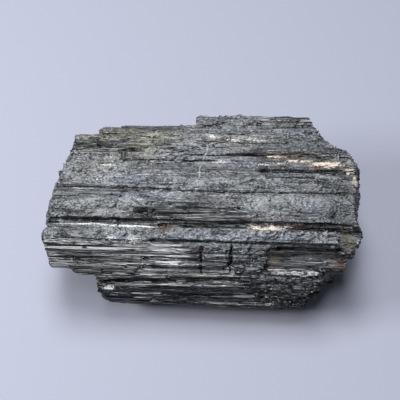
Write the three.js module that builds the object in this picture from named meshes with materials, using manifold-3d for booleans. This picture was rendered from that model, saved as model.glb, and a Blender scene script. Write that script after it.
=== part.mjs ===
// A hand specimen of black tourmaline (schorl): a log of parallel crystals grown together into one stone.
// Millimetres. +X runs along the crystals, +Z is up, and the front of the stone faces -Y.
// Every crystal is a ribbed prism along X. They overlap, so manifold-3d joins them into one solid.
import * as THREE from "three";
import { mergeVertices } from "three/addons/utils/BufferGeometryUtils.js";
import Module from "manifold-3d";

const FAN = 0.00078; // sideways drift of a crystal, per mm along it and per mm in front of FAN_EDGE
const FAN_EDGE = 26; // the crystals at this y run true along X
const SECTION_SCALE = 1.08; // size of the real section against the y and z figures of the tables below
const RIB_PITCH = 1.5; // spacing of the ribs across a crystal's outer face
const RIB_HEIGHT = 0.3; // how far the ribs rise and fall
const SHOULDER = 0.3; // bevel along both long edges of an outer face
const FLANK = 0.55; // depth of the groove between two neighbours
const LAP = 0.3; // how far a crystal reaches into its neighbour below that groove
const CHIP = 1.3; // length of the worn stretch at each end
const WORN = 0.86; // size of the section at the very end, against its full size
const RAKE = 0.16; // how far an end runs outwards per mm of depth
const END_ROUGHNESS = 1.3; // unevenness of a broken end
const SWAY = 0.22; // unevenness of a face along its length
const SWAY_PITCH = 23; // length between two rings of a crystal
const WELD = 1e-4; // corners this near each other are one corner
const SIMPLIFY = 0.12; // facets smaller than this are merged after the join

// Each crystal's outer face runs from edge a to edge b, both [y, z] at x = 0, seen from the +X end
// anticlockwise round the stone. It is deep mm thick, and lies between x = from and x = to.
const TOP = [
  { a: [25.0, 27.0], b: [21.0, 29.4], deep: 6, from: -2.0, to: 36.0 },
  { a: [20.4, 29.3], b: [17.2, 30.0], deep: 6, from: -32.0, to: 37.5 },
  { a: [17.0, 30.2], b: [13.9, 31.0], deep: 6, from: -41.0, to: 41.0 },
  { a: [13.7, 30.7], b: [12.2, 31.0], deep: 6, from: -38.8, to: 42.0 },
  { a: [12.0, 31.4], b: [8.7, 31.9], deep: 6, from: -42.5, to: 47.0 },
  { a: [8.5, 31.7], b: [3.9, 32.6], deep: 6, from: -45.0, to: 49.5 },
  { a: [3.7, 32.2], b: [-1.0, 32.9], deep: 6, from: -43.6, to: 49.0 },
  { a: [-1.2, 32.6], b: [-5.2, 33.0], deep: 6, from: -47.5, to: 48.5 },
  { a: [-5.4, 32.8], b: [-8.4, 32.5], deep: 6, from: -48.0, to: 48.0 },
  { a: [-8.5, 32.2], b: [-12.2, 32.3], deep: 5, from: -48.0, to: 46.5 },
  { a: [-8.8, 33.0], b: [-12.1, 32.9], deep: 3, from: -14.5, to: 36.5 },
];
const CLEFT = [
  { a: [-12.7, 31.5], b: [-13.9, 31.2], deep: 4, from: -41.0, to: -12.3 },
  { a: [-12.6, 31.2], b: [-13.9, 30.9], deep: 4, from: 12.6, to: 23.8 },
];
const BROW = [
  { a: [-13.8, 32.1], b: [-17.8, 31.2], deep: 5, from: -49.0, to: 38.9 },
  { a: [-17.7, 30.7], b: [-20.9, 27.9], deep: 5, from: -47.5, to: -0.6 },
  { a: [-17.7, 30.4], b: [-20.8, 27.7], deep: 5, from: -0.2, to: 7.6 },
  { a: [-17.8, 30.7], b: [-21.0, 27.9], deep: 5, from: 8.0, to: 18.8 },
  { a: [-21.0, 27.5], b: [-23.5, 24.4], deep: 5, from: -46.0, to: -17.0 },
  { a: [-20.8, 27.2], b: [-23.2, 24.2], deep: 5, from: -16.7, to: 7.4 },
  { a: [-21.0, 27.4], b: [-23.5, 24.3], deep: 5, from: 7.8, to: 18.2 },
  { a: [-23.3, 24.2], b: [-24.2, 22.0], deep: 5, from: -37.2, to: 31.5, rakeTo: 0.7 },
  { a: [-15.2, 28.4], b: [-18.3, 25.8], deep: 5, from: -6.0, to: 35.8, rakeTo: 0.5 },
  { a: [-18.5, 25.6], b: [-21.9, 22.2], deep: 5, from: -6.0, to: 34.0, rakeTo: 0.7 },
];
const FRONT = [
  { a: [-24.1, 22.6], b: [-25.3, 19.2], deep: 6, from: -30.8, to: 32.6, rakeTo: 0.8 },
  { a: [-25.3, 18.9], b: [-26.3, 15.0], deep: 6, from: -30.4, to: 31.4, rakeTo: 0.7 },
  { a: [-26.2, 14.7], b: [-26.5, 10.5], deep: 6, from: -29.9, to: 29.4, rakeTo: 0.6 },
  { a: [-26.3, 10.3], b: [-25.5, 6.6], deep: 6, from: -28.6, to: 27.6, rakeTo: 0.5 },
  { a: [-25.2, 6.3], b: [-22.4, 2.2], deep: 6, from: -25.6, to: 26.5 },
];
const BASE = [
  { a: [-22.0, 2.0], b: [-17.0, 0.5], deep: 6, from: -24.0, to: 26.0 },
  { a: [-16.8, 0], b: [-6.6, 0], deep: 8, from: -26.0, to: 27.0, ribs: 0 },
  { a: [-6.4, 0.6], b: [1.5, 0.8], deep: 8, from: -28.0, to: 30.0 },
  { a: [1.7, 0], b: [9.6, 0], deep: 8, from: -24.0, to: 29.0, ribs: 0 },
  { a: [9.8, 0.5], b: [15.5, 1.7], deep: 7, from: -26.5, to: 25.0 },
];
const BACK = [
  { a: [15.7, 2.0], b: [20.4, 5.6], deep: 6, from: -25.0, to: 23.0 },
  { a: [20.6, 5.8], b: [23.6, 10.6], deep: 6, from: -27.5, to: 26.0 },
  { a: [23.7, 10.9], b: [24.9, 15.8], deep: 6, from: -24.0, to: 28.5 },
  { a: [24.8, 16.1], b: [25.2, 20.6], deep: 6, from: -22.0, to: 25.5 },
  { a: [25.3, 20.8], b: [25.3, 27.2], deep: 6, from: -1.0, to: 28.0 },
  { a: [24.2, 20.9], b: [21.6, 27.6], deep: 6, from: -25.0, to: 8.0 },
  { a: [22.4, 14.0], b: [21.0, 22.0], deep: 6, from: -31.5, to: 31.0 },
];
// Crystals that show where the outer ones have broken away at the two ends.
const INNER = [
  { a: [-8.0, 29.8], b: [-14.2, 28.6], deep: 8, from: -46.0, to: 48.5 },
  { a: [-14.2, 26.6], b: [-17.4, 22.4], deep: 7, from: -43.4, to: 44.6 },
  { a: [-16.6, 21.8], b: [-18.4, 17.6], deep: 7, from: -38.5, to: 40.6 },
  { a: [-17.4, 15.0], b: [-18.6, 9.6], deep: 7, from: -26.5, to: 39.6 },
  { a: [-18.0, 9.4], b: [-16.5, 4.2], deep: 7, from: -24.5, to: 33.0 },
  { a: [19.5, 22.0], b: [12.6, 26.8], deep: 8, from: -34.0, to: 34.5 },
];
// Both ends are broken off along these lines, [x, y] seen from above, from the back to the front.
const LEFT_BREAK = [
  [-30, 33], [-30.2, 22], [-33.4, 18.9], [-39, 18.2], [-39.8, 13.8], [-41.4, 8.6], [-43.7, 3], [-45, -3],
  [-45.8, -8], [-45.6, -13.4], [-46.8, -15.4], [-45.6, -18.2], [-44.6, -21], [-43, -24.2],
  [-39.4, -26], [-39.4, -36],
];
const RIGHT_BREAK = [
  [33, 33], [33.2, 26.6], [34, 22.6], [36.2, 17.8], [40.7, 13.2], [44.4, 11.6], [47.4, 6], [46.8, -2.2],
  [45.3, -10.5], [46.4, -15.4], [44.6, -18.4], [43, -22.8], [39.6, -26], [39.6, -36],
];
const RIM = { from: 31.5, to: 37, inset: 3 }; // above this height the two ends lean inwards
// The inside of the stone is a close pack of six-sided crystals, one at each site inside this [y, z] outline.
const CORE_OUTLINE = [
  [-8, 29], [-16.5, 26], [-19.5, 20], [-20, 9], [-15, 4.5],
  [12, 4.5], [19, 10], [21, 19], [18, 25.5], [12, 28.5],
];
const CORE_PITCH = 5.1; // distance between two sites
const CORE_HEIGHT = 30; // no site is higher than this
const CORE_COLUMNS = 6; // columns of sites on each side of the middle
const CORE_OVERLAP = 1.16; // a core crystal's size against one that would only just touch its neighbours
const CORE_SCATTER = 0.9; // how far a site lies from its place in the pack
const CORE_BREAK = 4.2; // unevenness of the broken core ends
const HIGH = { above: 20, from: -39.5, to: 42 }; // reach of the core near the top of the stone
const LOW = { below: 11, from: -25.5, to: 28 }; // and near the bottom
const BACK_TAPER = { beyond: 3, perMm: 0.5 }; // the top of the core is shorter towards the back
const HEART = { scale: 0.8, from: -21, to: 22 }; // a plain block inside the core

// A fixed, repeatable number from -0.5 to 0.5 for a place.
function unevenness(...place) {
  const mixed = place.reduce((sum, value, i) => sum + value * (12.9898 + 65.2431 * i), 0);
  const wave = Math.sin(mixed) * 43758.5453;
  return wave - Math.floor(wave) - 0.5;
}

// The section of a crystal as [y, z] points: a bevelled, ribbed outer face, then flanks that reach into
// the neighbours.
function section({ a, b, deep, ribs = 1 }) {
  const [start, end] = scaled([new THREE.Vector2(...a), new THREE.Vector2(...b)]);
  const across = end.clone().sub(start);
  const width = across.length();
  across.normalize();
  const inward = new THREE.Vector2(-across.y, across.x);
  const point = (along, depth) => start.clone().addScaledVector(across, along).addScaledVector(inward, depth);
  const count = Math.max(1, Math.round((width - 2 * SHOULDER) / RIB_PITCH));
  const face = Array.from({ length: count + 1 }, (_, i) => {
    const along = SHOULDER + ((width - 2 * SHOULDER) * i) / count;
    return point(along, ribs * RIB_HEIGHT * (unevenness(a[0], a[1], i) + 0.5));
  });
  return [
    point(-LAP, deep),
    point(-LAP, FLANK),
    point(0, SHOULDER),
    ...face,
    point(width, SHOULDER),
    point(width + LAP, FLANK),
    point(width + LAP, deep),
  ];
}

function scaled(points) {
  return points.map((point) => point.clone().multiplyScalar(SECTION_SCALE));
}

// Where the rings of a crystal lie along X, and the size of each against the full section.
function rings(from, to) {
  const spans = Math.max(1, Math.round((to - from - 2 * CHIP) / SWAY_PITCH));
  const inner = Array.from({ length: spans + 1 }, (_, i) => ({
    x: from + CHIP + ((to - from - 2 * CHIP) * i) / spans,
    scale: 1,
  }));
  return [{ x: from, scale: WORN }, ...inner, { x: to, scale: WORN }];
}

// A prism along X through the rings, with broken ends, as a closed geometry.
function prism(outline, { from, to, rake = RAKE, rakeTo = rake, sway = SWAY }) {
  const shape = new THREE.Shape(outline);
  const stations = rings(from, to);
  const last = stations.length - 1;
  const geometry = new THREE.ExtrudeGeometry(shape, { depth: last, steps: last, bevelEnabled: false });
  const centre = new THREE.Box2().setFromPoints(outline).getCenter(new THREE.Vector2());
  const face = outline[Math.floor(outline.length / 2)];
  const position = geometry.getAttribute("position");
  for (let i = 0; i < position.count; i++) {
    const flat = new THREE.Vector2(position.getX(i), position.getY(i));
    const ring = Math.round(position.getZ(i));
    const { x: station, scale } = stations[ring];
    const depth = flat.distanceTo(face);
    const rough = END_ROUGHNESS * unevenness(flat.x, flat.y, ring);
    const atStart = ring === 0 ? -rake * depth + rough : 0;
    const atEnd = ring === last ? rakeTo * depth + rough : 0;
    const x = station + atStart + atEnd;
    const spread = scale + (sway * unevenness(station, centre.x, centre.y)) / 6;
    const y = centre.x + (flat.x - centre.x) * spread;
    const z = centre.y + (flat.y - centre.y) * (ring > 0 && ring < last ? 1 : spread);
    position.setXYZ(i, x, y - FAN * (FAN_EDGE - y) * x, z);
  }
  return geometry;
}

const wasm = await Module();
wasm.setup();

function solidOf(geometry) {
  geometry.deleteAttribute("normal");
  geometry.deleteAttribute("uv");
  const closed = mergeVertices(geometry, WELD);
  const vertProperties = closed.getAttribute("position").array;
  const triVerts = new Uint32Array(closed.index.array);
  return new wasm.Manifold(new wasm.Mesh({ numProp: 3, vertProperties, triVerts }));
}

function geometryOf(solid) {
  const mesh = solid.getMesh();
  const geometry = new THREE.BufferGeometry();
  geometry.setAttribute("position", new THREE.BufferAttribute(mesh.vertProperties, 3));
  geometry.setIndex(new THREE.BufferAttribute(mesh.triVerts, 1));
  geometry.computeVertexNormals();
  return geometry;
}

function isInside([y, z], outline) {
  return outline.reduce((inside, [y1, z1], i) => {
    const [y0, z0] = outline.at(i - 1);
    return z0 > z !== z1 > z && y < y0 + ((y1 - y0) * (z - z0)) / (z1 - z0) ? !inside : inside;
  }, false);
}

// How far along X the core reaches at a place in the section.
function coreReach(y, z) {
  const height = THREE.MathUtils.smoothstep(z, LOW.below, HIGH.above);
  const taper = height * BACK_TAPER.perMm * Math.max(0, y - BACK_TAPER.beyond);
  return {
    from: THREE.MathUtils.lerp(LOW.from, HIGH.from, height) + taper + CORE_BREAK * unevenness(y, z, 1),
    to: THREE.MathUtils.lerp(LOW.to, HIGH.to, height) - taper + CORE_BREAK * unevenness(y, z, 2),
  };
}

function coreCrystals() {
  const rowPitch = (CORE_PITCH * Math.sqrt(3)) / 2;
  const radius = (CORE_OVERLAP * CORE_PITCH) / Math.sqrt(3);
  const made = [];
  for (let row = 0; row * rowPitch < CORE_HEIGHT; row++) {
    for (let column = -CORE_COLUMNS; column <= CORE_COLUMNS; column++) {
      const y = (column + (row % 2) / 2) * CORE_PITCH + CORE_SCATTER * unevenness(row, column, 1);
      const z = row * rowPitch + CORE_SCATTER * unevenness(row, column, 2);
      if (!isInside([y, z], CORE_OUTLINE)) continue;
      const corners = Array.from({ length: 6 }, (_, i) => {
        const angle = (i * Math.PI) / 3 + Math.PI / 6;
        const centre = new THREE.Vector2(y, z);
        return centre.add(new THREE.Vector2(Math.cos(angle), Math.sin(angle)).multiplyScalar(radius));
      });
      made.push(prism(scaled(corners), { ...coreReach(y, z), sway: 0 }));
    }
  }
  return made;
}

function heart() {
  const outline = CORE_OUTLINE.map((point) => new THREE.Vector2(...point));
  const centre = new THREE.Box2().setFromPoints(outline).getCenter(new THREE.Vector2());
  const block = outline.map((point) => point.sub(centre).multiplyScalar(HEART.scale).add(centre));
  return prism(scaled(block), { ...HEART, sway: 0 });
}

// The space between the two broken ends, from under the stone to above it.
function betweenBreaks() {
  const outline = [...LEFT_BREAK, ...RIGHT_BREAK.toReversed()].map((point) => new THREE.Vector2(...point));
  const heights = [-1, RIM.from, RIM.to];
  const shape = new THREE.Shape(outline);
  const geometry = new THREE.ExtrudeGeometry(shape, { depth: 2, steps: 2, bevelEnabled: false });
  const position = geometry.getAttribute("position");
  for (let i = 0; i < position.count; i++) {
    const ring = Math.round(position.getZ(i));
    const inset = ring === 2 ? RIM.inset * Math.sign(position.getX(i)) : 0;
    position.setXYZ(i, position.getX(i) - inset, position.getY(i), heights[ring]);
  }
  return geometry;
}

const outer = [...TOP, ...CLEFT, ...BROW, ...FRONT, ...BASE, ...BACK, ...INNER];
const crystals = [...outer.map((crystal) => prism(section(crystal), crystal)), ...coreCrystals(), heart()];
const joined = crystals.map(solidOf).reduce((whole, piece) => whole.add(piece));
const broken = joined.intersect(solidOf(betweenBreaks()));
const shells = broken.simplify(SIMPLIFY).decompose();
const stone = shells.reduce((most, piece) => (piece.volume() > most.volume() ? piece : most));

const tourmaline = new THREE.Mesh(
  geometryOf(stone),
  new THREE.MeshStandardMaterial({ color: 0x2b2c2e, roughness: 0.42, metalness: 0 }),
);
tourmaline.name = "tourmaline_crystal";

// The origin is on the surface that the stone lies on, under the middle of its outline.
const bounds = new THREE.Box3().setFromObject(tourmaline);
const middle = bounds.getCenter(new THREE.Vector3());
tourmaline.position.set(-middle.x, -middle.y, -bounds.min.z);

const group = new THREE.Group();
group.add(tourmaline);

export default group;
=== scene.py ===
"""The looks of a log of black tourmaline (schorl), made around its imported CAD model.

The stone is remeshed much finer along the same crystals, carved with ribs, flakes, cracks and broken grain,
and given one procedural material. Lengths are in metres unless a comment says otherwise. +X runs along the
crystals, +Z is up, and the front faces -Y.
"""
import math

import bpy
import numpy as np
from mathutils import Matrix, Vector


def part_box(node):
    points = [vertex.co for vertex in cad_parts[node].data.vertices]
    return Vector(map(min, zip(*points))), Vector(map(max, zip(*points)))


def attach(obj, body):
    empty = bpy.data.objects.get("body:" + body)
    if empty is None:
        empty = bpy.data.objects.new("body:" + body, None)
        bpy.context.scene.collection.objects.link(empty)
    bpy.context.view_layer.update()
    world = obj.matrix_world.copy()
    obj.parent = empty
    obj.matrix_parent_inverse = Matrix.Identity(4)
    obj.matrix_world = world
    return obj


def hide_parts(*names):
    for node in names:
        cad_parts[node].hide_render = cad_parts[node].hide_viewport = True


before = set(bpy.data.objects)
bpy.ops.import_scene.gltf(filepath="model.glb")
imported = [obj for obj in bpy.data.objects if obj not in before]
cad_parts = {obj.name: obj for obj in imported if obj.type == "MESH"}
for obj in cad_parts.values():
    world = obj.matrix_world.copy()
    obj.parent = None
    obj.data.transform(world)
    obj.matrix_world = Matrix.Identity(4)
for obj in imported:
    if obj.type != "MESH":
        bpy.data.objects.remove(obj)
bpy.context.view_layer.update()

NODE = "tourmaline_crystal"
MM = 0.001
LOW, HIGH = (np.array(corner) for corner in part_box(NODE))
SIZE = HIGH - LOW
SEED = 7

# The fine mesh.
SQUEEZE = 2.0  # the remesh is this much coarser along the crystals than across them
VOXEL = 0.24 * MM
MAX_TRIANGLES = 190_000
PROUD = 0.55 * MM  # crests stand up to this far out from the CAD surface, inside its box

# Cells that the stone is carved in, in mm: along the crystals, then across them.
WIDE_RIBS = (70, 2.4)
THIN_RIBS = (45, 1.05)
FLAKES = (6.0, 2.2)
CHIPS = (1.5, 0.85)
COLUMNS = (60, 1.5)
THREADS = (60, 0.6)
DARK_LINES = (36, 1.7)
FEATHERS = (1.9, 0.6)
GRAINS = (1.0, 0.7)

# The crystals fan out a little towards the front, as in the CAD model.
FAN = 0.78  # sideways drift per metre along and per metre in front of the back edge


# ---------------------------------------------------------------- noise

def hashed(*cells):
    """A repeatable number from 0 to 1 for each row of whole-number cells."""
    mixed = np.full(cells[0].shape, SEED * 0x9E3779B1, np.uint64)
    for step, cell in enumerate(cells):
        mixed ^= (cell.astype(np.int64) + 1_000_003 * (step + 1)).astype(np.uint64)
        mixed *= np.uint64(0xBF58476D1CE4E5B9)
        mixed ^= mixed >> np.uint64(29)
        mixed *= np.uint64(0x94D049BB133111EB)
        mixed ^= mixed >> np.uint64(32)
    return (mixed >> np.uint64(11)).astype(np.float64) / float(1 << 53)


def decimals(value):
    """Another number from 0 to 1, from the further digits of one."""
    return value - np.floor(value)


def smooth(t):
    return t * t * (3 - 2 * t)


def ramp(value, start, end):
    """0 at start and before, 1 at end and after, smooth between them. start may be the larger one."""
    return smooth(np.clip((value - start) / (end - start), 0, 1))


def noise(points, cell, key=0):
    """Smooth noise from 0 to 1. cell is the size of a cell along each axis."""
    scaled = points / np.asarray(cell)
    base = np.floor(scaled)
    part = smooth(scaled - base)
    base = base.astype(np.int64)
    total = np.zeros(len(points))
    for corner in np.ndindex(2, 2, 2):
        weight = np.prod(np.where(corner, part, 1 - part), axis=1)
        total += weight * hashed(*(base + corner).T, np.full(len(points), key))
    return total


def layered(points, cell, key=0, layers=3):
    """Smooth noise with finer noise added, from about 0 to 1."""
    total = np.zeros(len(points))
    weight_sum = 0
    for layer in range(layers):
        weight = 0.5**layer
        total += weight * noise(points, np.asarray(cell) / 2**layer, key + layer)
        weight_sum += weight
    return total / weight_sum


def cells(points, cell, key=0):
    """Irregular cells: each point's cell number, how far off the wall is, and the way from the cell's site."""
    scaled = points / np.asarray(cell)
    base = np.floor(scaled).astype(np.int64)
    nearest = np.full(len(points), np.inf)
    second = np.full(len(points), np.inf)
    number = np.zeros(len(points))
    middle = np.zeros((len(points), 3))
    for corner in np.ndindex(3, 3, 3):
        at = base + (np.array(corner) - 1)
        keys = [np.full(len(points), key + 10 * axis) for axis in range(4)]
        site = at + 0.15 + 0.7 * np.stack([hashed(*at.T, keys[axis]) for axis in range(3)], axis=1)
        gap = np.sqrt(((scaled - site) ** 2).sum(axis=1))
        closer = gap < nearest
        second = np.where(closer, nearest, np.minimum(second, gap))
        number = np.where(closer, hashed(*at.T, keys[3]), number)
        middle = np.where(closer[:, None], site, middle)
        nearest = np.where(closer, gap, nearest)
    return number, second - nearest, (scaled - middle) * np.asarray(cell)


def rounded(wall):
    """How far the side of a round rib has dropped: 0 along its crest, 1 at its wall."""
    return 1 - np.sqrt(1 - (1 - np.clip(wall, 0, 1)) ** 2)


def cell_of(along, across):
    """The size of a cell along each axis, from its size in mm along the crystals and across them."""
    return (along * MM, across * MM, across * MM)


def drop(number, digits, distance):
    """How far each point drops where its cell leans by a random share of its own."""
    return (decimals(number * digits) - 0.5) * distance


# ---------------------------------------------------------------- mesh

def coordinates(mesh):
    flat = np.empty(len(mesh.vertices) * 3, np.float32)
    mesh.vertices.foreach_get("co", flat)
    return flat.reshape(-1, 3).astype(np.float64)


def set_coordinates(mesh, points):
    mesh.vertices.foreach_set("co", points.astype(np.float32).ravel())
    mesh.update()


def normals(mesh):
    flat = np.empty(len(mesh.vertices) * 3, np.float32)
    mesh.vertices.foreach_get("normal", flat)
    return flat.reshape(-1, 3).astype(np.float64)


def applied(obj):
    """The mesh of obj with its modifiers applied, in place of its own."""
    graph = bpy.context.evaluated_depsgraph_get()
    made = bpy.data.meshes.new_from_object(obj.evaluated_get(graph))
    obj.modifiers.clear()
    obj.data = made
    return made


def fine_copy():
    """The CAD solid remeshed into small faces that are longer along the crystals."""
    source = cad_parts[NODE].data.copy()
    points = coordinates(source)
    points[:, 0] /= SQUEEZE
    set_coordinates(source, points)
    stone = bpy.data.objects.new("tourmaline_log", source)
    bpy.context.scene.collection.objects.link(stone)
    remesh = stone.modifiers.new("remesh", "REMESH")
    remesh.mode = "VOXEL"
    remesh.voxel_size = VOXEL
    remesh.use_smooth_shade = False
    mesh = applied(stone)
    points = coordinates(mesh)
    points[:, 0] *= SQUEEZE
    set_coordinates(mesh, points)
    return stone


def section_of(points):
    """Points with the fan of the crystals taken out, so that x alone changes along a crystal."""
    straight = points.copy()
    straight[:, 1] += FAN * (HIGH[1] - points[:, 1]) * points[:, 0]
    return straight


# Places are shares of the stone's box: u along the crystals, v from front to back, w from the base up.
# A groove is a line along the crystals: v, w, from u, to u, then its radius and depth in mm.
GROOVES = [
    (0.282, 0.970, 0.02, 0.37, 1.1, 2.0),  # the main cleft
    (0.276, 0.975, 0.34, 0.96, 1.3, 2.4),
    (0.183, 0.935, 0.33, 0.93, 1.0, 2.0),  # the second cleft
    (0.178, 0.870, 0.71, 0.93, 1.4, 2.6),  # under the overhang of the recess
    (0.172, 0.790, 0.715, 0.90, 0.45, 0.7),
    (0.155, 0.748, 0.715, 0.88, 0.45, 0.6),
    (0.115, 0.730, 0.70, 0.86, 0.45, 0.6),
    (0.476, 0.992, 0.05, 0.42, 0.55, 0.6),  # the long groove across the top
    (0.464, 0.992, 0.36, 0.99, 0.5, 0.5),
    (0.722, 0.965, 0.08, 0.30, 0.55, 0.8),
    (0.748, 0.960, 0.09, 0.26, 0.45, 0.6),
    (0.655, 0.972, 0.22, 0.56, 0.5, 0.7),
    (0.690, 0.968, 0.44, 0.72, 0.5, 0.6),
    (0.592, 0.982, 0.66, 0.99, 0.65, 0.9),
    (0.556, 0.988, 0.68, 0.86, 0.4, 0.5),
    (0.345, 0.992, 0.29, 0.56, 0.8, 1.0),
    (0.370, 0.992, 0.40, 0.62, 0.4, 0.6),
    (0.700, 0.965, 0.55, 0.90, 0.45, 0.6),
    (0.955, 0.870, 0.68, 0.90, 0.6, 0.7),
    (0.935, 0.880, 0.70, 0.88, 0.4, 0.6),
    (0.105, 0.800, 0.10, 0.62, 0.6, 0.8),
]
TOP_SLACK = 1.6 * MM  # a groove on the top follows the surface this far up and down
# Ledges of the front face, where a crystal has split off above.
# Each is u, w at one end, u, w at the other, then the width in mm.
LEDGES = [
    (0.185, 0.685, 0.265, 0.693, 0.9),
    (0.29, 0.698, 0.60, 0.730, 0.9),
    (0.185, 0.570, 0.62, 0.650, 1.0),
    (0.195, 0.522, 0.230, 0.527, 0.8),
    (0.205, 0.425, 0.270, 0.430, 0.6),
    (0.275, 0.470, 0.370, 0.480, 0.6),
    (0.325, 0.333, 0.365, 0.336, 0.6),
    (0.42, 0.430, 0.66, 0.470, 0.8),
    (0.47, 0.330, 0.72, 0.360, 0.6),
    (0.66, 0.700, 0.80, 0.710, 0.7),
    (0.68, 0.235, 0.80, 0.245, 0.6),
]
# Cracks across the crystals: u, from v, to v, radius and depth in mm.
CRACKS = [
    (0.581, 0.10, 0.18, 0.45, 0.9),
    (0.492, 0.08, 0.17, 0.4, 0.6),
    (0.640, 0.11, 0.17, 0.35, 0.5),
    (0.700, 0.09, 0.14, 0.5, 0.7),
]
# Bright, clean ribs: from u, to u, from v, to v.
RIBBED = [
    (-0.1, 0.40, 0.04, 0.175),
    (0.70, 0.93, 0.11, 0.18),
    (0.15, 0.62, -0.1, 0.09),
    (0.08, 0.31, 0.70, 0.80),
    (0.68, 0.89, 0.93, 1.1),
    (0.28, 0.62, 0.295, 0.36),
]
# Feathery places on the top, without straight ribs: from u, to u, from v, to v.
CALM = [
    (0.05, 0.44, 0.50, 0.68),
    (0.47, 0.75, 0.50, 0.63),
    (0.00, 0.92, 0.19, 0.25),
    (0.62, 0.95, 0.36, 0.45),
    (0.10, 0.34, 0.32, 0.42),
]
# Crumbled: from u, to u, from v, to v.
CRUMBLED = [
    (0.66, 0.90, -0.1, 0.11),
    (0.92, 1.1, 0.05, 0.24),
]
# Glossy places, full of painted highlight streaks: from u, to u, from v, to v, and from w up.
SHINY = [
    (-0.1, 0.45, -0.1, 0.19, 0.70),
    (0.70, 0.93, 0.08, 0.17, 0.66),
    (0.68, 0.89, 0.93, 1.1, 0.70),
]


def inside(place, region, edge=0.03):
    """1 inside a region of u and v, 0 outside, smooth between."""
    u0, u1, v0, v1 = region
    u, v = place[:, 0], place[:, 1]
    share = ramp(u, u0 - edge, u0 + edge) * ramp(u, u1 + edge, u1 - edge)
    return share * ramp(v, v0 - edge / 2, v0 + edge / 2) * ramp(v, v1 + edge / 2, v1 - edge / 2)


def most(masks):
    return np.max(np.stack(list(masks)), axis=0)


def ribbed(place, along):
    named = most(inside(place, region) for region in RIBBED)
    drift = layered(along, (26 * MM, 5 * MM, 5 * MM), 900)
    return np.clip(named + ramp(drift, 0.56, 0.68) * 0.7, 0, 1)


def calmed(place):
    return most(inside(place, region) for region in CALM)


def crumbled(place):
    return most(inside(place, region) for region in CRUMBLED)


def shiny(place):
    """1 in the glossy places that are full of painted highlight streaks, 0 outside, smooth between."""
    w = place[:, 2]
    return most(inside(place, (u0, u1, v0, v1)) * ramp(w, low, low + 0.03) for u0, u1, v0, v1, low in SHINY)


def dull(place):
    """1 where the stone is worn and dull, less on the glossy front and underneath."""
    upper = ramp(place[:, 1], 0.14, 0.20)
    brow = inside(place, (0.44, 0.70, 0.08, 0.19)) * 0.8
    return 0.12 + 0.88 * most([upper, brow, crumbled(place) * 0.45])


def groove_depth(along, place):
    """How deep the named grooves and cracks go at each point."""
    depth = np.zeros(len(along))
    waver = (layered(along, (9 * MM, 30 * MM, 30 * MM), 950) - 0.5) * 0.9 * MM
    for v, w, start, end, radius, deep in GROOVES:
        y = LOW[1] + v * SIZE[1]
        z = LOW[2] + w * SIZE[2]
        gap_up = np.maximum(np.abs(along[:, 2] - z) - (TOP_SLACK if w > 0.95 and v > 0.3 else 0), 0)
        gap = np.hypot(along[:, 1] + 0.35 * waver - y, gap_up)
        reach = ramp(place[:, 0], start, start + 0.03) * ramp(place[:, 0], end, end - 0.03)
        depth = np.maximum(depth, deep * MM * ramp(gap, radius * MM, 0.25 * radius * MM) * reach)
    wander = (layered(points_flat(along), (40 * MM, 1.4 * MM, 1.4 * MM), 960) - 0.5) * 0.9 * MM
    for u, start, end, radius, deep in CRACKS:
        gap = np.abs(along[:, 0] + wander - (LOW[0] + u * SIZE[0]))
        reach = ramp(place[:, 1], start - 0.01, start) * ramp(place[:, 1], end + 0.01, end)
        depth = np.maximum(depth, deep * MM * ramp(gap, radius * MM, 0.2 * radius * MM) * reach)
    return depth


def ledges(points, place):
    """How far the front face lies back above each ledge, and how near each point is to a ledge's step."""
    depth = np.zeros(len(points))
    near = np.zeros(len(points))
    waver = (layered(points, (7 * MM, 60 * MM, 60 * MM), 970) - 0.5) * 0.7 * MM
    for start, low, end, high, width in LEDGES:
        w = low + (high - low) * (place[:, 0] - start) / (end - start)
        above = points[:, 2] + waver - (LOW[2] + w * SIZE[2])
        reach = ramp(place[:, 0], start, start + 0.01) * ramp(place[:, 0], end, end - 0.01)
        step = ramp(above, -0.15 * MM, 0.15 * MM) * ramp(above, 2.6 * MM, 0.6 * MM)
        depth = np.maximum(depth, width * MM * step * reach)
        near = np.maximum(near, ramp(np.abs(above - 0.1 * MM), 1.3 * width * MM, 0.6 * width * MM) * reach)
    return depth, near


def points_flat(points):
    flat = points.copy()
    flat[:, 0] = 0
    return flat


def turned(points, angle):
    """Points turned about the vertical by an angle of each point's own."""
    x, y = points[:, 0], points[:, 1]
    cos, sin = np.cos(angle), np.sin(angle)
    return np.stack([x * cos + y * sin, y * cos - x * sin, points[:, 2]], axis=1)


def rib_depth(along, across, worn):
    """Long round ribs that stand at different heights, with thinner ones on them."""
    wide, wide_wall, wide_way = cells(along, cell_of(*WIDE_RIBS), 100)
    thin, thin_wall, thin_way = cells(along, cell_of(*THIN_RIBS), 200)
    lean = drop(wide, 10, (wide_way * across).sum(axis=1))
    slant = drop(thin, 10, (thin_way * across).sum(axis=1))
    depth = (0.35 * wide + 0.75 * rounded(wide_wall)) * MM + 0.5 * lean
    depth *= 1 - 0.7 * worn
    return depth + ((0.12 * thin + 0.32 * rounded(thin_wall)) * MM + 0.5 * slant) * (1 - 0.5 * worn)


def flake_depth(points, swirl):
    """Broad flakes that lean this way and that."""
    flake, wall, way = cells(turned(points, 0.5 * swirl), cell_of(*FLAKES), 480)
    lean = drop(flake, 10, way[:, 1]) + drop(flake, 100, way[:, 0])
    return 0.35 * lean + 0.12 * MM * flake + 0.05 * MM * ramp(wall, 0.12, 0.0)


def line_depth(along):
    """Thin dark lines that open and close along the crystals."""
    line = layered(along, cell_of(*DARK_LINES), 350, 2)
    return 0.4 * MM * ramp(np.abs(line - 0.5), 0.03, 0.0)


def grain_depth(points, swirl):
    """Grain that is feathered in every direction."""
    feather = noise(turned(points, swirl), cell_of(*FEATHERS), 440)
    grain = layered(points, cell_of(*GRAINS), 400)
    return (0.14 * feather + 0.16 * grain) * MM


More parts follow.
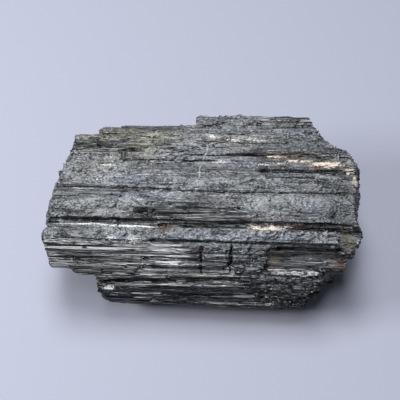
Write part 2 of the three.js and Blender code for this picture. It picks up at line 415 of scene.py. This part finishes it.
def chip_depth(points, across):
    """Chips that stand at different heights and lean every way."""
    chip, wall, way = cells(points, cell_of(*CHIPS), 460)
    lean = drop(chip, 10, (way * across).sum(axis=1))
    return (0.5 * chip + 0.2 * ramp(wall, 0.15, 0.0)) * MM + 0.8 * lean


def end_depth(points, along):
    """How far each column of a broken end stops short, with its rough end."""
    column, wall, _ = cells(along, cell_of(*COLUMNS), 500)
    thread, _, _ = cells(along, cell_of(*THREADS), 600)
    rough = layered(points, cell_of(2.0, 1.2), 700)
    return (0.9 * column + 0.3 * thread + 0.3 * ramp(wall, 0.15, 0.0) + 0.8 * rough) * MM


def carve(stone):
    """Sinks the surface in by the depth of everything that is carved in it, and steps the broken ends."""
    mesh = stone.data
    points = coordinates(mesh)
    facing = normals(mesh)
    along = section_of(points)
    place = (along - LOW) / SIZE
    across = np.stack([np.zeros(len(points)), -facing[:, 2], facing[:, 1]], axis=1)

    end_face = ramp(np.abs(facing[:, 0]), 0.35, 0.8)
    side = 1 - end_face
    top = ramp(facing[:, 2], 0.35, 0.8) * side
    base = ramp(points[:, 2], 1.2 * MM, 0.3 * MM)
    worn = top * (1 - ribbed(place, along))
    calm = calmed(place)
    swirl = (layered(points, cell_of(9, 6), 420, 2) - 0.5) * 5.0

    depth = rib_depth(along, across, worn) * (1 - 0.7 * worn * calm)
    depth += flake_depth(points, swirl) * worn
    depth += line_depth(along) * (1 - 0.8 * calm)
    depth += grain_depth(points, swirl) * (0.08 + 0.92 * worn)
    depth += chip_depth(points, across) * crumbled(place)
    depth += groove_depth(along, place) + ledges(points, place)[0] * ramp(-facing[:, 1], 0.5, 0.8)
    depth = (depth - PROUD) * side * (1 - base)

    moved = points - facing * depth[:, None]
    moved[:, 0] -= np.sign(facing[:, 0]) * end_depth(points, along) * end_face
    set_coordinates(mesh, np.clip(moved, LOW, HIGH))


def thin_out(stone):
    """Fewer triangles where the surface is plain."""
    mesh = stone.data
    mesh.calc_loop_triangles()
    count = len(mesh.loop_triangles)
    if count > MAX_TRIANGLES:
        decimate = stone.modifiers.new("decimate", "DECIMATE")
        decimate.ratio = MAX_TRIANGLES / count
        mesh = applied(stone)
        set_coordinates(mesh, np.clip(coordinates(mesh), LOW, HIGH))
    print("triangles", count, "kept", sum(len(p.vertices) - 2 for p in stone.data.polygons))


# Patches of another colour: u, v, w, then the half length along, across and up in mm, and how strong it is.
CREAM = [
    (0.69, 0.275, 0.948, 5.0, 1.0, 0.7, 1.0),
    (0.885, 0.640, 0.97, 4.0, 0.8, 3.0, 1.0),
    (0.80, 0.660, 0.97, 4.0, 0.4, 3.0, 0.75),
    (0.72, 0.690, 0.97, 2.5, 0.45, 3.0, 0.8),
    (0.735, 0.64, 0.97, 2.0, 0.4, 3.0, 0.7),
    (0.95, 0.60, 0.97, 1.6, 0.5, 3.0, 0.7),
    (0.97, 0.53, 0.97, 1.2, 1.6, 2.5, 0.7),
    (0.205, 0.610, 0.97, 2.2, 0.35, 2.0, 0.8),
]
RUST = [
    (0.375, 0.262, 0.955, 3.4, 1.0, 1.0, 1.0),
    (0.915, 0.16, 0.74, 2.6, 2.5, 3.0, 0.6),
    (0.770, 0.283, 0.950, 2.4, 1.0, 0.7, 0.8),
    (0.87, 0.620, 0.97, 5.0, 0.6, 2.0, 0.8),
    (0.78, 0.680, 0.97, 5.0, 0.5, 2.0, 0.7),
    (0.54, 0.80, 0.94, 8.0, 0.8, 3.0, 0.6),
]
TAN = [
    (0.935, 0.235, 0.875, 1.8, 2.8, 2.5, 1.0),
    (0.915, 0.135, 0.72, 3.0, 1.2, 2.0, 0.8),
    (0.716, 0.160, 0.785, 1.8, 2.2, 3.2, 1.0),
    (0.76, 0.690, 0.97, 8.0, 1.6, 3.0, 0.6),
    (0.90, 0.64, 0.97, 6.0, 2.0, 3.0, 0.6),
]
# A grey patch of painted sheen on the silky stripes in the recess.
SATIN_SHEEN_PATCH = [
    (0.800, 0.150, 0.770, 11.0, 2.4, 2.4, 1.0),
]
# Small white chips, and painted glints; the last two rows paint the bright reflection of the narrow face under
# the main cleft.
CHIPS_AND_PAINTED_GLINTS = [
    (0.526, 0.824, 0.93, 2.0, 1.0, 3.0, 0.62),
    (0.566, 0.816, 0.93, 1.3, 0.6, 3.0, 0.5),
    (0.598, 0.797, 0.94, 2.4, 0.7, 3.0, 0.5),
    (0.650, 0.811, 0.93, 1.8, 0.5, 3.0, 0.5),
    (0.675, 0.795, 0.94, 2.6, 0.35, 3.0, 0.56),
    (0.554, 0.645, 0.97, 3.0, 0.5, 3.0, 0.62),
    (0.690, 0.633, 0.97, 4.0, 0.35, 3.0, 0.56),
    (0.417, 0.731, 0.96, 0.9, 0.45, 3.0, 0.56),
    (0.409, 0.804, 0.93, 1.2, 0.45, 3.0, 0.5),
    (0.329, 0.824, 0.93, 0.9, 0.4, 3.0, 0.5),
    (0.210, 0.670, 0.97, 0.9, 0.7, 3.0, 0.62),
    (0.108, 0.710, 0.96, 1.3, 0.5, 3.0, 0.56),
    (0.175, 0.516, 0.98, 2.6, 0.3, 3.0, 0.5),
    (0.235, 0.623, 0.97, 0.9, 0.35, 3.0, 0.5),
    (0.326, 0.583, 0.97, 1.1, 0.35, 3.0, 0.5),
    (0.860, 0.470, 0.98, 0.9, 0.4, 3.0, 0.5),
    (0.222, 0.195, 0.945, 1.8, 0.9, 1.5, 0.55),
    (0.290, 0.188, 0.945, 1.8, 0.8, 1.5, 0.65),
    # Painted glints on the front.
    (0.205, 0.033, 0.525, 1.3, 1.6, 0.32, 1.1),
    (0.341, 0.020, 0.333, 0.9, 1.0, 0.25, 0.7),
    (0.747, 0.036, 0.233, 2.0, 1.0, 0.22, 0.6),
    # Painted reflection of the narrow glossy face under the main cleft.
    (0.135, 0.262, 0.968, 8.0, 0.22, 1.0, 1.0),
    (0.276, 0.254, 0.970, 6.5, 0.26, 1.0, 1.2),
]
OLIVE = [
    (0.25, 0.80, 0.93, 14.0, 7.0, 4.0, 1.0),
    (0.62, 0.78, 0.93, 10.0, 4.0, 4.0, 0.6),
    (0.14, 0.60, 0.97, 8.0, 5.0, 4.0, 0.5),
]
# Darker places, where the dust is thin: painted shade under the overhang of the recess and along the clefts,
# and darker tone elsewhere.
PAINTED_SHADE_AND_DARK_TONE = [
    # Painted shade under the overhang of the recess and in the second cleft.
    (0.815, 0.182, 0.880, 11.0, 1.6, 1.2, 1.0),
    (0.78, 0.205, 0.94, 6.0, 0.35, 2.0, 0.7),
    (0.90, 0.36, 0.97, 9.0, 3.0, 3.0, 0.42),
    (0.93, 0.47, 0.97, 8.0, 5.0, 3.0, 0.40),
    (0.80, 0.74, 0.95, 9.0, 4.0, 3.0, 0.36),
    (0.80, 0.94, 0.90, 10.0, 0.9, 4.0, 0.6),
    (0.80, 0.90, 0.90, 10.0, 0.6, 4.0, 0.5),
    # Painted shade along the main cleft.
    (0.20, 0.292, 0.97, 15.0, 0.5, 2.0, 0.9),
    (0.50, 0.282, 0.96, 9.0, 0.6, 1.5, 1.0),
    (0.85, 0.281, 0.955, 7.0, 0.9, 1.5, 1.2),
    (0.36, 0.330, 0.97, 9.0, 0.7, 3.0, 0.6),
    (0.10, 0.330, 0.97, 4.0, 0.8, 3.0, 0.6),
    (0.55, 0.300, 0.97, 16.0, 0.4, 3.0, 0.7),
]


def patches(points, rows):
    """How far inside a patch each point is: its strength on the edge, twice that in the middle, 0 far out."""
    total = np.zeros(len(points))
    for u, v, w, along, across, up, strength in rows:
        centre = LOW + np.array([u, v, w]) * SIZE
        gap = np.sqrt((((points - centre) / (np.array([along, across, up]) * MM)) ** 2).sum(axis=1))
        total = np.maximum(total, strength * np.clip(2 - gap, 0, 2))
    return total


# The path of the thin healed crack across the top, as u and v.
VEIN = [
    (0.515, 0.764), (0.514, 0.72), (0.503, 0.685), (0.499, 0.645),
    (0.489, 0.61), (0.487, 0.55), (0.480, 0.51),
]


def vein(place):
    """How far each point is from the healed crack in mm, less than 0 to the left of it and at most 5."""
    gap = np.full(len(place), 5 * MM)
    across = place[:, :2] * SIZE[:2]
    for start, end in zip(VEIN, VEIN[1:]):
        a = np.array(start) * SIZE[:2]
        way = np.array(end) * SIZE[:2] - a
        share = np.clip(((across - a) @ way) / (way @ way), 0, 1)
        off = across - a - share[:, None] * way
        distance = np.linalg.norm(off, axis=1)
        gap = np.where(distance < np.abs(gap), distance * np.where(off[:, 0] < 0, -1, 1), gap)
    return gap / MM


def paint(stone):
    """Masks for the material, one value at each vertex."""
    mesh = stone.data
    points = coordinates(mesh)
    facing = normals(mesh)
    along = section_of(points)
    place = (along - LOW) / SIZE
    rib = ribbed(place, along)
    upward = ramp(facing[:, 2], 0.2, 0.75) * ramp(np.abs(facing[:, 0]), 0.6, 0.25)
    ends = ramp(np.abs(facing[:, 0]), 0.5, 0.9) * (0.22 + 0.45 * ramp(place[:, 2], 0.78, 0.92))
    masks = {
        "ribs": rib,
        # The dust and the painted sheen lie on upward faces away from the clean ribs, and on the broken ends.
        "worn": np.maximum(upward * (1 - 0.75 * rib) * dull(place), ends),
        "groove": groove_depth(along, place) / MM,
        "ledge": ledges(points, place)[1] * ramp(-facing[:, 1], 0.2, 0.5),
        "calm": calmed(place),
        "shine": shiny(place),
        "cream": patches(along, CREAM),
        "rust": patches(along, RUST),
        "tan": patches(along, TAN),
        "satin": patches(along, SATIN_SHEEN_PATCH),
        "pale": patches(along, CHIPS_AND_PAINTED_GLINTS),
        "olive": patches(along, OLIVE),
        "shade_and_dark_tone": patches(along, PAINTED_SHADE_AND_DARK_TONE),
        "vein": vein(place),
    }
    for name, values in masks.items():
        layer = mesh.attributes.new(name, "FLOAT", "POINT")
        layer.data.foreach_set("value", values.astype(np.float32))
    layer = mesh.attributes.new("straight", "FLOAT_VECTOR", "POINT")
    layer.data.foreach_set("vector", along.astype(np.float32).ravel())


# ---------------------------------------------------------------- material

class Nodes:
    """Short calls for the nodes of one material."""

    def __init__(self, name):
        self.material = bpy.data.materials.new(name)
        self.material.use_nodes = True
        self.tree = self.material.node_tree
        self.tree.nodes.clear()

    def add(self, kind, inputs=(), **settings):
        node = self.tree.nodes.new("ShaderNode" + kind)
        for name, value in settings.items():
            setattr(node, name, value)
        for name, value in dict(inputs).items():
            if isinstance(value, bpy.types.NodeSocket):
                self.tree.links.new(value, node.inputs[name])
            else:
                node.inputs[name].default_value = value
        return node

    def mask(self, name):
        return self.add("Attribute", attribute_name=name).outputs["Fac"]

    def math(self, operation, a, b=0.5):
        return self.add("Math", {0: a, 1: b}, operation=operation).outputs[0]

    def plus(self, a, b):
        return self.math("ADD", a, b)

    def minus(self, a, b):
        return self.math("SUBTRACT", a, b)

    def times(self, a, b):
        return self.math("MULTIPLY", a, b)

    def larger(self, a, b):
        return self.math("MAXIMUM", a, b)

    def distance(self, a, b):
        return self.math("ABSOLUTE", self.minus(a, b))

    def parts(self, vector):
        return self.add("SeparateXYZ", {0: vector}).outputs

    def ramp(self, value, start, end, low=0.0, high=1.0):
        """low where value is start or less, high from end on."""
        sockets = {"Value": value, "From Min": start, "From Max": end, "To Min": low, "To Max": high}
        return self.add("MapRange", sockets, interpolation_type="SMOOTHSTEP").outputs[0]

    def mix(self, factor, a, b):
        node = self.add("Mix", data_type="RGBA")
        for socket, value in ((node.inputs[0], factor), (node.inputs[6], a), (node.inputs[7], b)):
            if isinstance(value, bpy.types.NodeSocket):
                self.tree.links.new(value, socket)
            else:
                socket.default_value = value
        return node.outputs[2]

    def place(self, along, across):
        """Position counted in cells of that size in mm."""
        where = self.add("Attribute", attribute_name="straight").outputs["Vector"]
        scale = (1000 / along, 1000 / across, 1000 / across)
        return self.add("VectorMath", {0: where, 1: scale}, operation="MULTIPLY").outputs[0]

    def noise(self, along, across, detail=2.0, rough=0.5):
        sockets = {"Vector": self.place(along, across), "Scale": 1.0, "Detail": detail, "Roughness": rough}
        return self.add("TexNoise", sockets).outputs[0]

    def facets(self, along, across):
        """Three random numbers for each small irregular cell, as a colour."""
        sockets = {"Vector": self.place(along, across), "Scale": 1.0, "Randomness": 1.0}
        return self.add("TexVoronoi", sockets).outputs["Color"]


BLACK = (0.006, 0.006, 0.007, 1)
SHADE = (0.040, 0.042, 0.046, 1)
# Greys of the dust, which also paint the sheen that the worn top shows.
DUST_AND_SHEEN_GREY = (0.29, 0.30, 0.312, 1)
OLIVE_DUST_AND_SHEEN = (0.34, 0.335, 0.265, 1)
BLUE_DUST_AND_SHEEN = (0.27, 0.29, 0.325, 1)
# Pale grey of the painted highlight streaks, which stand in for glints on glossy splinters.
GLINT_PAINT_GREY = (0.54, 0.55, 0.57, 1)
CREAM_COLOUR = (0.78, 0.68, 0.57, 1)
RUST_COLOUR = (0.17, 0.085, 0.050, 1)
TAN_COLOUR = (0.30, 0.26, 0.20, 1)
CHIP_AND_GLINT_WHITE = (0.78, 0.79, 0.80, 1)
VEIN_COLOUR = (0.52, 0.60, 0.60, 1)
BUMP_DEPTH = 0.12 * MM
SCHORL_IOR = 1.64
SCHORL_SPECULAR = 0.34


class Schorl(Nodes):
    """The one material of the stone: glossy black, grey where it is worn, with its streaks and stains."""

    def __init__(self):
        super().__init__("schorl")
        self.worn = self.mask("worn")
        self.ledge = self.mask("ledge")
        self.calm = self.mask("calm")
        # Where the painted highlight streaks are densest: the glossy places, and beside the ledges.
        self.shine = self.larger(self.mask("shine"), self.times(self.ledge, 0.75))
        self.fine = self.noise(0.50, 0.36, 2.0, 0.6)
        self.streak = self.noise(9.0, 0.42, 3.0, 0.6)
        self.splinter = self.parts(self.facets(24.0, 0.50))
        # The painted shade lines and the painted highlight beside each.
        self.line, self.edge = self.lines()
        # Painted shade of the grooves, lines and shaded places.
        self.shaded_hollow = self.shaded_hollows()

    def lines(self):
        """Thin black lines along the crystals, painted as shade in their fine creases and broken here and
        there, and a painted highlight on the edge beside each.
        """
        contour = self.noise(15.0, 1.5, 1.0, 0.5)
        breaks = self.noise(9.0, 4.0, 1.0, 0.5)
        line = self.times(self.ramp(self.distance(contour, 0.5), 0.030, 0.010), self.ramp(breaks, 0.44, 0.54))
        line = self.times(line, self.ramp(self.calm, 0.2, 0.9, 1.0, 0.2))
        edge = self.ramp(self.distance(contour, 0.54), 0.014, 0.004)
        return line, self.times(edge, self.ramp(breaks, 0.48, 0.58))

    def shaded_hollows(self):
        """Painted shade: where no dust lies, so the stone shows black, in the grooves and lines, and in the
        darker and shaded places.
        """
        shaded_hollow = self.larger(self.ramp(self.mask("groove"), 0.2, 0.5), self.line)
        shade_and_dark_tone = self.ramp(self.plus(self.mask("shade_and_dark_tone"), self.minus(self.streak, 0.5)), 0.5, 1.0)
        return self.larger(shaded_hollow, self.times(shade_and_dark_tone, 0.8))

    def dust_and_sheen(self):
        """The colour of the dust and scuffs on what is worn, which also paints the grey sheen of the top,
        speckled with painted glints of small facets.
        """
        grain = self.mix(self.calm, self.streak, self.noise(1.4, 0.9, 2.0, 0.6))
        cloud = self.noise(7.0, 2.6, 3.0, 0.55)
        salt = self.parts(self.facets(0.6, 0.30))[1]
        grey = self.plus(self.times(self.fine, 0.42), self.times(grain, 0.26))
        grey = self.plus(grey, self.times(cloud, 0.32))
        grey = self.plus(grey, self.times(self.minus(salt, 0.5), 0.11))
        # The painted highlight beside each line lightens the speckle.
        speckle = self.larger(self.ramp(grey, 0.39, 0.59), self.times(self.edge, 0.9))
        tint = self.mix(self.ramp(self.noise(16.0, 8.0, 1.0), 0.4, 0.65), DUST_AND_SHEEN_GREY, BLUE_DUST_AND_SHEEN)
        tint = self.mix(self.ramp(self.mask("olive"), 0.3, 1.6), tint, OLIVE_DUST_AND_SHEEN)
        return self.mix(speckle, SHADE, tint)

    def covered(self):
        """How much of the black stone the dust and painted sheen cover, less in the painted shade of the
        grooves, lines and darker places.
        """
        # Painted sheen in the recess, in the grey of the dust.
        satin = self.ramp(self.mask("satin"), 0.6, 1.2)
        covered = self.larger(self.ramp(self.worn, 0.0, 1.0), self.times(satin, 0.45))
        covered = self.times(covered, self.ramp(self.mask("shade_and_dark_tone"), 0.0, 0.7, 1.0, 0.68))
        return self.times(covered, self.ramp(self.shaded_hollow, 0.0, 1.0, 1.0, 0.03))

    def painted_glint_streaks(self):
        """Painted highlights: bright streaks along the crystals in place of glints on glossy splinters, the
        most of them in the glossy places.
        """
        thread = self.plus(self.noise(24.0, 0.34, 2.0, 0.6), self.times(self.minus(self.shine, 1.0), 0.10))
        glint_streak = self.times(self.ramp(thread, 0.54, 0.58), self.ramp(self.noise(12.0, 1.0, 2.0), 0.38, 0.52))
        bright = self.times(self.ramp(self.splinter[2], 0.74, 0.78), self.times(self.shine, 0.65))
        return self.times(self.larger(glint_streak, bright), self.ramp(self.shaded_hollow, 0.0, 0.5, 0.9, 0.0))

    def ragged(self, name, along, across, spread):
        """The mask of a patch, with an edge that breaks up into streaks of that size in mm."""
        noisy = self.times(self.minus(self.noise(along, across, 3.0, 0.6), 0.5), spread * 2)
        value = self.plus(self.mask(name), noisy)
        return self.times(self.ramp(value, 0.75, 1.1), self.ramp(self.mask(name), 0.0, 0.3))

    def stained(self, colour):
        """The colour with the tan, rust and cream stains, the white chips and the painted glints on it, and
        where those are.
        """
        tan = self.ragged("tan", 2.5, 0.5, 1.6)
        rust = self.ragged("rust", 2.5, 0.45, 1.6)
        cream = self.ragged("cream", 1.2, 0.42, 1.7)
        pale = self.ragged("pale", 0.6, 0.34, 1.8)
        colour = self.mix(self.times(tan, 0.8), colour, self.mix(self.fine, SHADE, TAN_COLOUR))
        colour = self.mix(rust, colour, self.mix(self.ramp(self.fine, 0.3, 0.7), BLACK, RUST_COLOUR))
        creamy = self.mix(self.ramp(self.fine, 0.28, 0.45), RUST_COLOUR, CREAM_COLOUR)
        colour = self.mix(cream, colour, creamy)
        # White chips and painted glints.
        colour = self.mix(self.times(pale, 0.9), colour, CHIP_AND_GLINT_WHITE)
        return colour, self.larger(self.larger(cream, rust), self.larger(tan, pale))

    def veined(self, colour):
        """The colour with the thin pale healed crack on it, which wanders and fades."""
        wander = self.times(self.minus(self.noise(1.6, 1.2, 2.0), 0.5), 1.0)
        off_vein = self.math("ABSOLUTE", self.plus(self.mask("vein"), wander))
        faded = self.ramp(self.noise(2.0, 1.6, 1.0), 0.38, 0.55, 0.35, 1.0)
        vein = self.times(self.ramp(off_vein, 0.30, 0.12), faded)
        return self.mix(self.times(vein, 0.5), colour, VEIN_COLOUR)

    def roughness(self, stain):
        rough = self.ramp(self.worn, 0.0, 1.0, 0.11, 0.24)
        rough = self.plus(rough, self.times(self.minus(self.streak, 0.5), 0.18))
        return self.plus(rough, self.times(stain, 0.3))

    def lift(self, facing):
        """How far each long splinter of a glossy side leans up, so that some flash and some stay black."""
        band = self.larger(self.ramp(self.noise(40.0, 2.6, 1.0), 0.50, 0.62, 0.0, 0.7), self.shine)
        flash = self.ramp(self.splinter[0], 0.55, 0.65)
        flash = self.times(flash, self.ramp(self.splinter[1], 0.0, 1.0, 1.2, 3.4))
        glint = self.ramp(self.noise(3.0, 0.8, 1.0), 0.35, 0.55, 0.4, 2.3)
        lift = self.larger(self.times(flash, band), self.times(self.ledge, glint))
        lift = self.times(lift, self.ramp(self.worn, 0.0, 0.6, 1.0, 0.0))
        lift = self.times(lift, self.ramp(facing[2], -0.5, 0.0))
        return self.times(lift, self.ramp(self.math("ABSOLUTE", facing[0]), 0.6, 0.3))

    def tilted(self):
        """The normal, tilted this way and that by small flat facets, and up by the splinters."""
        normal = self.add("NewGeometry").outputs["Normal"]
        sockets = {0: self.facets(0.50, 0.34), 1: (0.5, 0.5, 0.5)}
        small = self.add("VectorMath", sockets, operation="SUBTRACT").outputs[0]
        strength = self.ramp(self.worn, 0.0, 1.0, 0.05, 0.70)
        tilt_by = self.add("VectorMath", {0: small, "Scale": strength}, operation="SCALE").outputs[0]
        tilted = self.add("VectorMath", {0: normal, 1: tilt_by}, operation="ADD").outputs[0]
        up = self.add("CombineXYZ", {2: self.lift(self.parts(normal))}).outputs[0]
        tilted = self.add("VectorMath", {0: tilted, 1: up}, operation="ADD").outputs[0]
        return self.add("VectorMath", {0: tilted}, operation="NORMALIZE").outputs[0]

    def relief(self):
        """Grit, striae and streaks that are too fine for the mesh, on the tilted normal."""
        grit = self.times(self.fine, self.ramp(self.worn, 0.0, 1.0, 0.15, 1.5))
        stria = self.times(self.noise(40.0, 0.40, 2.0, 0.6), self.ramp(self.mask("ribs"), 0.0, 1.0, 0.4, 1.2))
        streaks = self.times(self.streak, self.ramp(self.calm, 0.2, 0.9, 1.0, 0.2))
        height = self.plus(streaks, self.plus(grit, stria))
        height = self.minus(height, self.times(self.line, 1.5))
        sockets = {"Strength": 1.0, "Distance": BUMP_DEPTH, "Height": height, "Normal": self.tilted()}
        return self.add("Bump", sockets).outputs[0]

    def finished(self):
        # Black stone, greyed by dust and painted sheen where it is worn.
        colour = self.mix(self.covered(), BLACK, self.dust_and_sheen())
        # Painted highlight streaks in pale grey, over the black and the dust.
        colour = self.mix(self.painted_glint_streaks(), colour, GLINT_PAINT_GREY)
        colour, stain = self.stained(colour)
        sockets = {
            "Base Color": self.veined(colour),
            "Roughness": self.roughness(stain),
            "Normal": self.relief(),
            "IOR": SCHORL_IOR,
            "Specular IOR Level": SCHORL_SPECULAR,
        }
        shader = self.add("BsdfPrincipled", sockets)
        self.add("OutputMaterial", {"Surface": shader.outputs[0]})
        return self.material


# ---------------------------------------------------------------- studio

FLOOR_WIDTH = 3
FLOOR_COLOUR = (0.385, 0.398, 0.485, 1)
ROOM_COLOUR = (0.82, 0.86, 1.0, 1)
ROOM_STRENGTH = 0.08
COOL = (0.96, 0.98, 1.0)
WHITE = (1.0, 1.0, 1.0)
# Each light: name, place, what it points at, width, height, power in watts, colour.
LIGHTS = [
    ("overhead", (-0.04, 0.11, 0.64), (0, 0, 0.02), 0.20, 0.36, 3.55, COOL),
    ("strip", (-0.05, -0.16, 0.62), (0, 0, 0.02), 0.07, 0.14, 0.7, COOL),
    ("left", (-0.44, -0.06, 0.30), (0, 0, 0.01), 0.20, 0.14, 2.1, WHITE),
]


def floor():
    mesh = bpy.data.meshes.new("floor")
    half = FLOOR_WIDTH / 2
    corners = [(-half, -half, 0), (half, -half, 0), (half, half, 0), (-half, half, 0)]
    mesh.from_pydata(corners, [], [(0, 1, 2, 3)])
    obj = bpy.data.objects.new("floor", mesh)
    bpy.context.scene.collection.objects.link(obj)
    material = bpy.data.materials.new("pale_floor")
    material.use_nodes = True
    shader = material.node_tree.nodes["Principled BSDF"]
    shader.inputs["Base Color"].default_value = FLOOR_COLOUR
    shader.inputs["Roughness"].default_value = 0.9
    mesh.materials.append(material)


def area_light(name, place, target, width, height, power, colour):
    light = bpy.data.lights.new(name, "AREA")
    light.shape = "RECTANGLE"
    light.size = width
    light.size_y = height
    light.energy = power
    light.color = colour
    obj = bpy.data.objects.new(name, light)
    obj.location = place
    obj.rotation_euler = (Vector(target) - Vector(place)).to_track_quat("-Z", "Y").to_euler()
    bpy.context.scene.collection.objects.link(obj)


def studio():
    world = bpy.data.worlds.new("room")
    world.use_nodes = True
    background = world.node_tree.nodes["Background"]
    background.inputs["Color"].default_value = ROOM_COLOUR
    background.inputs["Strength"].default_value = ROOM_STRENGTH
    bpy.context.scene.world = world
    for light in LIGHTS:
        area_light(*light)


CAMERA_TARGET = Vector((-0.99, 4.85, 17.80)) * MM
CAMERA_DISTANCE = 290.9 * MM
CAMERA_ELEVATION = 60  # degrees above the floor


def camera():
    lens = bpy.data.cameras.new("camera")
    lens.lens = 85
    lens.sensor_width = 36
    obj = bpy.data.objects.new("camera", lens)
    tilt = math.radians(CAMERA_ELEVATION)
    back = Vector((0, -math.cos(tilt), math.sin(tilt)))
    obj.location = CAMERA_TARGET + back * CAMERA_DISTANCE
    obj.rotation_euler = (-back).to_track_quat("-Z", "Y").to_euler()
    bpy.context.scene.collection.objects.link(obj)
    bpy.context.scene.camera = obj


# ---------------------------------------------------------------- build

stone = fine_copy()
carve(stone)
thin_out(stone)
paint(stone)
stone.data.materials.clear()
stone.data.materials.append(Schorl().finished())
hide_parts(NODE)
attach(stone, "root")

floor()
studio()
camera()
bpy.context.scene.view_settings.view_transform = "Standard"
